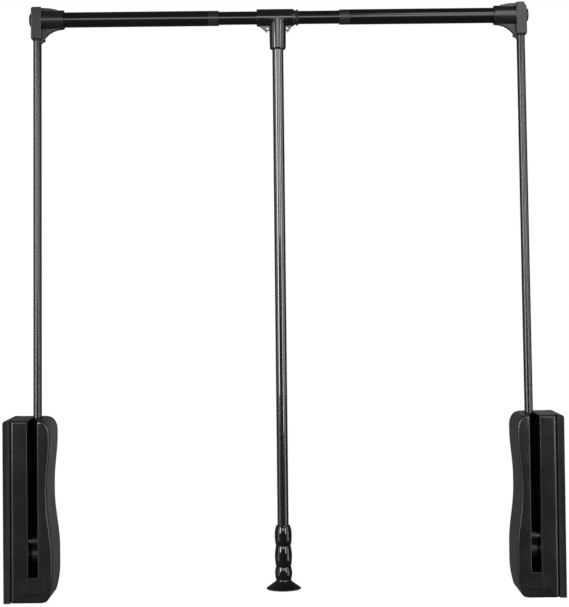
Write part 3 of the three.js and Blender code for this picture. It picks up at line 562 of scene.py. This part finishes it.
def tee(name):
    """A sleeve, a tapered stem with a rounded lip and a holed gusset each side, joined and bored."""
    left, right, foot = TEE_X - 30, TEE_X + 24, RAIL_Z - 46.5
    sleeve = np.vstack([[(0, left)], bend((11.9, left + 0.6), (0.6, 0.6), -QUARTER, 0, 4),
                        [(12.5, right - 2)], [(11.6, right)], [(0, right)]])
    stem = np.vstack([[(0, foot)], bend((8.6, foot + 3), (3, 3), -QUARTER, 0, 8),
                      [(12.25, RAIL_Z), (0, RAIL_Z)]])
    parts = [turned("stem", stem, "Z", (TEE_X, RAIL_Y, 0))]
    ledge, step, half = -18.7, -21.2, 2.5
    for side, reach, bent, tip in ((-1, 29.4, 23, 16.2), (1, 23.4, 19, 14.8)):
        outline = rounded([(0, 0), (0, ledge), (tip - 1.4, ledge), (tip - 1.4, step), (tip, step),
                           (bent, -15), (reach, -10.8), (reach, 0)], [0, 0, 0.5, 0.5, 0.5, 9, 0, 0])
        outline = outline * (side, 1) + (TEE_X, RAIL_Z)
        parts.append(slab("gusset", outline[::side], RAIL_Y - half, RAIL_Y + half, 0.4))
    whole = combined("UNION", turned(name, sleeve, "X", (0, RAIL_Y, RAIL_Z)), parts)
    holes = [rod("hole", 1.7, RAIL_Y - 6, RAIL_Y + 6, "Y", (TEE_X + reach, 0, RAIL_Z - 15.5))
             for reach in (-14.6, 13.9)]
    return combined("DIFFERENCE", whole, [
        rod("rail_bore", 11.4, left - PAST, right + PAST, "X", (0, RAIL_Y, RAIL_Z), sides=96),
        rod("handle_bore", HANDLE_RADIUS + GAP, foot - PAST, RAIL_Z - 14.2, "Z", (TEE_X, RAIL_Y, 0), sides=96),
        *holes])


def grip(name):
    """Three bulges over a flared foot: on each, the radius swells from rest by a power of a sine."""
    foot, fullest, bore = FOOT_Z + 2.5, 12.3, HANDLE_RADIUS + GAP
    share = np.linspace(0, 1, 25)
    profile = [np.array([(0, foot), (23.6, foot)]),
               bend((24.1, foot + 0.7), (0.7, 0.7), -QUARTER * 0.9, QUARTER * 0.5, 6),
               bend((15.2, foot + 13.6), (4.6, 4.6), QUARTER * 2.62, QUARTER * 2.1, 6)]
    start = foot + 12.6
    for length, low, high in ((19.1, 10.6, 10.6), (29.4, 10.6, 10.5), (29.4, 10.5, 9.3)):
        rest = low + (high - low) * share ** 3
        swell = np.sin(math.pi * share) ** 0.75
        profile.append(np.stack([rest + (fullest - rest) * swell, start + length * share], 1)[1:])
        start += length
    profile.append(np.array([(bore, start), (bore, foot + 13), (0, foot + 13)]))
    return turned(name, np.vstack(profile), "Z", (TEE_X, RAIL_Y, 0))


# Build

set_camera()

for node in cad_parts:
    base = node.replace("left_", "").replace("right_", "")
    if base in KEPT:
        held = bpy.data.objects[node]
        held.data.materials.clear()
        held.data.materials.append(KEPT[base])

HOUSING = {
    "mounting_tray": (tray, TRAY_ABS), "housing_cover": (cover, COVER_ABS), "bumper_block": (bumper, RUBBER),
}


def arm_tube(name):
    return tube(name, ARM_RADIUS, ARM_RADIUS - TUBE_WALL, 20.3, ARM_LENGTH - 8, "Z", (INSET, 0, 0), sides=64)


def outer_tube(name):
    return tube(name, RAIL_RADIUS, RAIL_RADIUS - TUBE_WALL, INSET + 14.3, 287.7, "X", (0, 0, ARM_LENGTH))


def end_ring(name):
    return tube(name, RAIL_RADIUS, CENTRE_RADIUS + GAP, 288, 303, "X", (0, 0, ARM_LENGTH), 0.5)


def centre_tube(name):
    return tube(name, CENTRE_RADIUS, CENTRE_RADIUS - TUBE_WALL, 162, 618, "X", (0, 0, ARM_LENGTH))


def handle_tube(name):
    return tube(name, HANDLE_RADIUS, 6.8, FOOT_Z + 15.8, RAIL_Z - 14.5, "Z", (TEE_X, RAIL_Y, 0))


FRAME = {
    "arm_tube": (arm_tube, ENAMEL), "elbow": (elbow, NYLON), "elbow_cap": (elbow_cap, NYLON),
    "set_screw": (set_screw, PHOSPHATE), "outer_rail_tube": (outer_tube, ENAMEL),
    "rail_end_ring": (end_ring, ACETAL),
}

for side in ("left", "right"):
    for table, body, leaned in ((HOUSING, "housing", False), (FRAME, "frame", True)):
        for base, (make, finish) in table.items():
            piece = placed(make(f"{side}_{base}_skin"), leaned, side == "right")
            dress(piece, f"{side}_{base}", f"{side}_{body}", finish)

dress(placed(centre_tube("centre_rail_tube_skin"), leaned=True), "centre_rail_tube", "centre_rail", ENAMEL)
dress(placed(tee_bush("tee_bush_skin"), leaned=True), "tee_bush", "centre_rail", ACETAL)
dress(tee("tee_skin"), "tee", "handle", TEE_ABS)
dress(handle_tube("handle_tube_skin"), "handle_tube", "handle", GLOSS_ENAMEL)
dress(grip("grip_skin"), "grip", "handle", GLOSS_ABS)


# Floor, lights and background

def stage_material():
    """Near white and matt, so that only the object's shadow tells it from the backdrop."""
    made = bpy.data.materials.new("white floor")
    made.use_nodes = True
    shader = made.node_tree.nodes["Principled BSDF"]
    shader.inputs["Base Color"].default_value = linear(0xfafaf9)
    shader.inputs["Roughness"].default_value = 0.9
    return made


floor = box("floor", (-3600, -3600, -1210), (4400, 4400, -1200))
floor.data.materials.append(stage_material())
floor.visible_glossy = False

# The backdrop is white, and reflections see it dimmed: a gleam straight behind the object, stronger
# to the right, and a faint slope that brightens towards the left
world = bpy.data.worlds.new("studio")
world.use_nodes = True
bpy.context.scene.world = world
sky = world.node_tree
path = add(sky, "ShaderNodeLightPath")
direction = add(sky, "ShaderNodeTexCoord")
axes = add(sky, "ShaderNodeSeparateXYZ", links={"Vector": (direction, "Generated")})
soft = {"interpolation_type": "SMOOTHSTEP"}
gleam = add(sky, "ShaderNodeMapRange", soft,
            {"From Min": -0.2, "From Max": 0.2, "To Min": 0.04, "To Max": 0.2}, {"Value": (axes, "X")})
behind = add(sky, "ShaderNodeMapRange", soft, {"From Min": 0.95, "From Max": 0.99, "To Min": 0.0},
             {"Value": (axes, "Y"), "To Max": (gleam, "Result")})
leftward = add(sky, "ShaderNodeMapRange", soft,
               {"From Min": 0.3, "From Max": -1.0, "To Min": 0.06, "To Max": 0.16}, {"Value": (axes, "X")})
mirrored = add(sky, "ShaderNodeMath", {"operation": "MAXIMUM"},
               links={0: (behind, "Result"), 1: (leftward, "Result")})
level = add(sky, "ShaderNodeMix", {"data_type": "FLOAT"}, {2: 1.0},
            {0: (path, "Is Glossy Ray"), 3: (mirrored, 0)})
sky.links.new(level.outputs[0], sky.nodes["Background"].inputs["Strength"])
sky.nodes["Background"].inputs["Color"].default_value = (1, 1, 1, 1)


def area_light(name, place, target, size, power):
    """A soft rectangular light that faces a point: its width and height, and its power in watts."""
    lamp = bpy.data.lights.new(name, "AREA")
    lamp.shape, lamp.size, lamp.size_y, lamp.energy = "RECTANGLE", size[0] * MM, size[1] * MM, power
    item = bpy.data.objects.new(name, lamp)
    item.location = Vector(place) * MM
    item.visible_camera = False
    item.rotation_euler = (Vector(target) - Vector(place)).to_track_quat("-Z", "Y").to_euler()
    bpy.context.collection.objects.link(item)


area_light("left fill", (-900, -450, 300), (390, 30, 300), (700, 1500), 5)
area_light("right fill", (1680, -450, 300), (390, 30, 300), (800, 1500), 9)
area_light("left key", (-1110, -1610, 700), (390, 30, 430), (480, 1300), 34)
area_light("right key", (1650, -1800, 600), (390, 30, 430), (350, 1300), 18)
area_light("overhead", (860, -900, 1300), (620, 0, 760), (500, 500), 3)
area_light("behind the camera", (390, -2500, 900), (390, 0, 700), (1500, 760), 17)

scene = bpy.context.scene
scene.view_settings.view_transform = "Standard"
